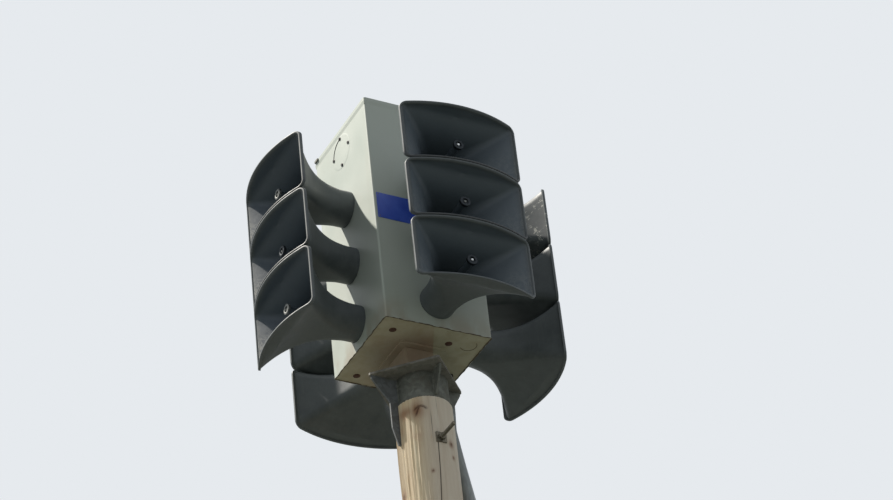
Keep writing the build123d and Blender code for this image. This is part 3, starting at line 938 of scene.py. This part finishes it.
def nutAndWasher():
    # hexagon nut with both its ends chamfered, on a square washer with a broken edge
    flat, chamfer = rod["nutFlat"], rod["nutChamfer"]
    start = rodSeat + rod["washerThickness"]
    end = start + rod["nutHeight"]
    profile = [
        (start, flat * 0.95, flat), (start + chamfer, flat * 1.16, flat), (end - chamfer, flat * 1.16, flat),
        (end, flat * 0.95, flat),
    ]
    outline = roundedOutline(rod["washer"], rod["washer"], rod["washerCorner"])
    return lathe(profile, 36, flats=6), slab(outline, [(rodSeat, 1), (start - 0.6, 1), (start, 0.975)])


boltItems = [placed(rodShell(-boltHigh[1] / mm, -boltLow[1] / mm), (0, 0, rodLevel), (0, -1, 0), (1, 0, 0))]
for way in (-1, 1):
    boltItems += [placed(item, (0, 0, rodLevel), (0, way, 0), (1, 0, 0)) for item in nutAndWasher()]
makePiece("through_bolt_threaded", boltItems, boltFinish, ["through_bolt"])
print("through bolt made")


# Conduit: a grey tube from the cabinet's bottom, round the pole and down its side, with its gland nut

conduit = {
    "radius": 25.0,
    "poleGap": 4.0,
    "start": (25.0, 182.0, 170.0),  # angle round the pole, distance from its axis, straight drop
    # each bend: angle round the pole, drop below the cabinet, stand-off
    "bends": [(18, 290, 4), (5, 480, 3), (-11, 680, 9), (-20, 900, 0)],
    "bendRadius": 150.0,
    "step": 12.0,
    # stations of the gland nut: share of its height, then radius and flats for a flat distance of one
    "glandProfile": [(0, 1.15, 1), (0.62, 1.15, 1), (0.7, 1, 1), (0.86, 0.95, 1), (1, 0.84, 1)],
}


def routePoint(angle, reach, height):
    # a point at this angle and this reach from the pole's axis
    return around(angle)[0] * reach * mm + [0, 0, height]


def conduitReach(height):
    # the trunk's radius, the gap and the conduit's own radius together
    return float(trunkRadius(height)) + conduit["radius"] + conduit["poleGap"]


def roundedPath(corners, radius, step):
    # straight runs joined by arcs: an arc's centre lies radius / cos(half the turn) from its corner
    stretches = [corners[:1]]
    for before, corner, after in zip(corners[:-2], corners[1:-1], corners[2:]):
        arriving, leaving = unit(corner - before), unit(after - corner)
        turn = np.arccos(np.clip(arriving @ leaving, -1, 1))
        inwards, forward = unit(leaving - arriving), unit(arriving + leaving)
        centre = corner + inwards * radius / cos(turn / 2)
        angles = np.linspace(-turn / 2, turn / 2, max(3, int(turn * radius / step * 3)))[:, None]
        stretches.append(centre + radius * (np.sin(angles) * forward - np.cos(angles) * inwards))
    return evenPoints(np.vstack(stretches + [corners[-1:]]), step)


angle, reach, drop = conduit["start"]
route = [routePoint(angle, reach, trayLevel), routePoint(angle, reach, trayLevel - drop * mm)]
for footAngle, drop, standOff in conduit["bends"]:
    z = trayLevel - drop * mm
    route.append(routePoint(footAngle, conduitReach(z) + standOff, z))
route.append(routePoint(footAngle, conduitReach(0), 0))  # the last bend's angle is the foot's
conduitPath = roundedPath(np.array(route), conduit["bendRadius"] * mm, conduit["step"] * mm)
tubeRings = carried(conduitPath, roundOutline(conduit["radius"] * mm, 28), (1, 0, 0))
tubeRings[-1, :, 2] = 0
tube = shell(tubeRings, start=conduitPath[0], end=conduitPath[-1] * (1, 1, 0))
makePiece("conduit_tube", tube, conduitFinish, ["conduit"])

glandLow, glandHigh = readBox("conduit_gland")
glandFlat = (glandHigh[1] - glandLow[1]) / 2 / mm
glandSizes = ((glandHigh[2] - glandLow[2]) / mm, glandFlat, glandFlat)
gland = lathe(np.array(conduit["glandProfile"]) * glandSizes, 48, flats=6)
gland = placed(gland, (*route[0][:2], glandHigh[2]), (0, 0, -1), (0, 1, 0))
makePiece("conduit_gland_nut", gland, nylon, ["conduit_gland"])
print("conduit made")


# Saddle clips: a bent strap over the conduit with a screw in each ear

clip = {
    "count": 6,
    "first": 650.0,
    "spacing": 1250.0,
    "width": 30.0,
    "thickness": 3.0,
    "corner": 0.8,
    "ear": 26.0,
    "gap": 0.3,
    "screw": 5.0,
}


def clipShells():
    # the strap's middle line is ear, leg, half circle, leg, ear, and its flat section is carried along it
    half, screw = clip["thickness"] / 2, clip["screw"]
    inner = conduit["radius"] + clip["gap"] + half
    foot = clip["gap"] - conduit["radius"] - conduit["poleGap"] + half
    ear = [(foot, inner + clip["ear"]), (foot, inner + 3), (foot + 1, inner + 1), (foot + 3, inner)]
    bend = [(inner * cos(turn), inner * sin(turn)) for turn in np.linspace(pi / 2, -pi / 2, 21)]
    path = np.pad(ear + bend + [(out, -aside) for out, aside in ear[::-1]], ((0, 0), (0, 1)))
    strap = carried(path, roundedOutline(clip["thickness"], clip["width"], clip["corner"], 2), (0, 0, 1))
    head = lathe([(0, screw), (1.4, screw * 0.9), (2.4, screw * 0.55)], 20)
    seats = [(foot + half, hand * (inner + clip["ear"] * 0.55), 0) for hand in (-1, 1)]
    heads = [dict(head, points=head["points"] + seat) for seat in seats]
    return [shell(strap, start=path[0], end=path[-1]), *heads]


clipItems = []
for number in range(clip["count"]):
    height = (clip["first"] + number * clip["spacing"]) * mm
    centre = routePoint(footAngle, conduitReach(height), height)
    clipItems += [placed(item, centre, *around(footAngle)) for item in clipShells()]
makePiece("conduit_saddle_clips", clipItems, galvanised, ["conduit_clips"])
print("clips made")


# Small hardware on the cabinet: the tray's seam, bolts and knock-out, plate rivets, the lid's lug and bead

hardware = {
    "rivet": (3.0, 1.4, 8.0),  # radius, height, inset from the plate's edges
    "seamInset": 2.0,
    "seamWander": 2.6,
    "seamWaves": [(7, 0.4), (17, 2.1), (26, 4.0), (43, 1.2)],  # waves round the run and their starts
    "seamRadius": 2.2,
    "seamRipple": 0.35,
    "seamRise": 0.6,
    "seamColumns": 420,
    "cabinetCorner": 4.0,
    "trayHead": (9.0, 3.0, 1.2),  # flat distance, height, washer
    "trayBolts": [(-168, -158), (91, -144), (-163, 187)],
    "knockOut": (175, -158, 34, 1.2),  # place, radius and bar
    "knockOutTurns": (-140, 50),
    "lidBead": 16.0,
    "lug": (30, 6, 11, 2.5),  # length, thickness, height and corner
    "lugPlace": (233, 1114),
}


def seamShell():
    # bead round the tray's seam: a square run with the walls' round corners, wandering as a sum of sines does
    width = 2 * (cabinetHalf - hardware["seamInset"] * mm)
    outline = roundedOutline(width, width, hardware["cabinetCorner"] * mm)
    path = evenPoints(np.vstack([outline, outline[:1]]), count=hardware["seamColumns"])
    path = np.pad(path, ((0, 0), (0, 1)))
    turn = np.linspace(0, 2 * pi, hardware["seamColumns"], endpoint=False)
    wander = sum(np.sin(turn * count + start) for count, start in hardware["seamWaves"]) / 4
    path = path + unit(path) * wander[:, None] * hardware["seamWander"] * mm
    forward = unit(np.roll(path, -1, axis=0) - np.roll(path, 1, axis=0))
    side = np.cross(forward, (0, 0, 1))[:, None]
    swing = np.sin(turn * 41 + 1) * np.sin(turn * 23)
    size = hardware["seamRadius"] * mm * (1 + hardware["seamRipple"] * swing)
    ring = roundOutline(1.0, 10)[None]
    rings = path[:, None] + size[:, None, None] * (ring[..., :1] * side + ring[..., 1:] * np.array([0, 0, 1]))
    return shell(rings + [headX, 0, wallsLow[2] + hardware["seamRise"] * mm], joined=True)


def lidBeadShell():
    # paint-filled seam under the lid's lip: a slim wedge, proud as the lip at its top and gone at its bottom,
    # carried round the walls' rounded square
    proud, foot, sunk = lidHigh[0] - wallsHigh[0], lidLow[2] - hardware["lidBead"] * mm, 1 * mm
    rings = []
    for outset, height in ((proud * 0.97, lidLow[2]), (0.0, foot), (-sunk, foot), (-sunk, lidLow[2])):
        width = 2 * (cabinetHalf + outset)
        ring = roundedOutline(width, width, hardware["cabinetCorner"] * mm + outset, 5)
        rings.append(np.pad(ring, ((0, 0), (0, 1)), constant_values=height) + [headX, 0, 0])
    return shell(np.array(rings), joined=True)


makePiece("tray_seam_sealant", seamShell(), sealant)

# pan heads: a quarter ellipse turned about its axis
radius, high, inset = hardware["rivet"]
turn = np.linspace(0, pi / 2 * 0.93, 6)
rivet = lathe(np.stack([high * np.sin(turn), radius * np.cos(turn)], -1), 20)
signLow, signHigh = readBox("name_plate")
rivets = []
for x in (signLow[0] + inset * mm, signHigh[0] - inset * mm):
    for z in (signLow[2] + inset * mm, signHigh[2] - inset * mm):
        rivets.append(placed(rivet, (x, signLow[1] + 0.1 * mm, z), (0, -1, 0), (1, 0, 0)))
makePiece("name_plate_rivets", rivets, boltFinish)

heads = []
for x, y in hardware["trayBolts"]:
    centre = (headX + x * mm, y * mm, trayLevel + 0.2 * mm)
    heads += [placed(item, centre, (0, 0, -1), (1, 0, 0)) for item in boltHead(*hardware["trayHead"])]
makePiece("tray_bolts", heads, rusted)

x, y, radius, bar = hardware["knockOut"]
mark = arcBar(radius, bar, *hardware["knockOutTurns"])
mark = placed(mark, (headX + x * mm, y * mm, trayLevel), (0, 0, -1), (1, 0, 0))
makePiece("knock_out_mark", mark, sealant)

length, thick, high, corner = hardware["lug"]
y, rise = hardware["lugPlace"]
lug = slab(roundedOutline(length, high, corner), [(0, 1), (thick - 1, 1), (thick, 0.9)])
lug = placed(lug, (lidLow[0], (y - length / 2) * mm, wallsLow[2] + rise * mm), (-1, 0, 0), (0, -1, 0))
makePiece("lid_lug", lug, galvanised)

makePiece("lid_seam_bead", lidBeadShell(), coatedSteel, sharpAngle=60)
print("hardware made")


# Stage: a plain pale floor, soft light and the camera at the photograph's angle

stage = {
    "floorSize": 90.0,
    "sunDirection": (-1.0, 0.86, 1.92),  # towards the light
    "sunStrength": 7.1,
    "sunSpread": 2.0,
    "sunColour": (1.0, 0.94, 0.85),
    "fill": 0.48,
}


def stageFloor():
    # pale matt floor; for bounced light it counts as darker, so that the undersides stay in shade
    half = stage["floorSize"] / 2
    mesh = bpy.data.meshes.new("floor")
    corners = [(-half, -half, 0), (half, -half, 0), (half, half, 0), (-half, half, 0)]
    mesh.from_pydata(corners, [], [(0, 1, 2, 3)])
    floor = newObject("floor", mesh)
    material, add, place = newMaterial("pale_floor")
    grain = tones(add, noise(add, place, 900), 0.3, 0.7, "#92959B", "#989BA1")
    colour = add("Mix", add("LightPath", output="Is Camera Ray"), "#585C57", grain)
    mesh.materials.append(dress(material, add, [], Base_Color=colour, Roughness=0.9))


def stageLight():
    # pale world for the camera, mirrors and glass, a softer fill for the rest, and one warm sun
    world = bpy.data.worlds.new("studio")
    bpy.context.scene.world = world
    world.use_nodes = True
    world.node_tree.nodes.clear()
    add = partial(addNode, world.node_tree)
    seen = 0.0
    for ray in ("Is Camera Ray", "Is Glossy Ray", "Is Transmission Ray"):
        seen = add("Math", seen, add("LightPath", output=ray), settings={"operation": "MAXIMUM"})
    fill = add("Background", "#E9EEF2", stage["fill"])
    pale = add("Background", "#E6EAEE", 1.0)
    add("OutputWorld", Surface=add("MixShader", seen, fill, pale))
    sun = bpy.data.lights.new("key", "SUN")
    sun.energy = stage["sunStrength"]
    sun.angle = radians(stage["sunSpread"])
    sun.color = stage["sunColour"]
    lamp = newObject("key", sun)
    lamp.rotation_euler = Vector(stage["sunDirection"]).to_track_quat("Z", "Y").to_euler()


view = {
    "azimuth": 30.76,
    "elevation": 35.95,
    "roll": -6.58,
    "focal": 3212.0,  # in pixels of the photograph's frame
    "distance": 13.3225,  # in metres
    "image": (893.0, 500.0),
    "targetPixel": (402.3, 259.8),
    "targetAboveBottom": 500.0,
    "sensor": 36.0,
}


def photographCamera():
    # the target, on the cabinet's axis, shows at its pixel; the camera stands back from it along the view
    azimuth, elevation, roll = (radians(view[key]) for key in ("azimuth", "elevation", "roll"))
    forward = np.array([cos(elevation) * sin(azimuth), cos(elevation) * cos(azimuth), sin(elevation)])
    sideways = np.array([cos(azimuth), -sin(azimuth), 0])
    upright = np.cross(sideways, forward)
    right = cos(roll) * sideways + sin(roll) * upright
    up = cos(roll) * upright - sin(roll) * sideways
    scale = view["distance"] / view["focal"]
    x, y = view["targetPixel"]
    width, height = view["image"]
    position = np.array([headX, 0, wallsLow[2] + view["targetAboveBottom"] * mm]) - view["distance"] * forward
    position = position - (x - width / 2) * scale * right - (height / 2 - y) * scale * up
    camera = bpy.data.cameras.new("camera")
    camera.sensor_width = view["sensor"]
    camera.lens = view["focal"] / width * view["sensor"]
    camera.clip_end = 200
    holder = newObject("camera", camera)
    matrix = Matrix(np.array([right, up, -forward]).T.tolist()).to_4x4()
    matrix.translation = Vector(position.tolist())
    holder.matrix_world = matrix
    bpy.context.scene.camera = holder


stageFloor()
stageLight()
photographCamera()
bpy.context.scene.view_settings.view_transform = "Standard"
print("stage set")
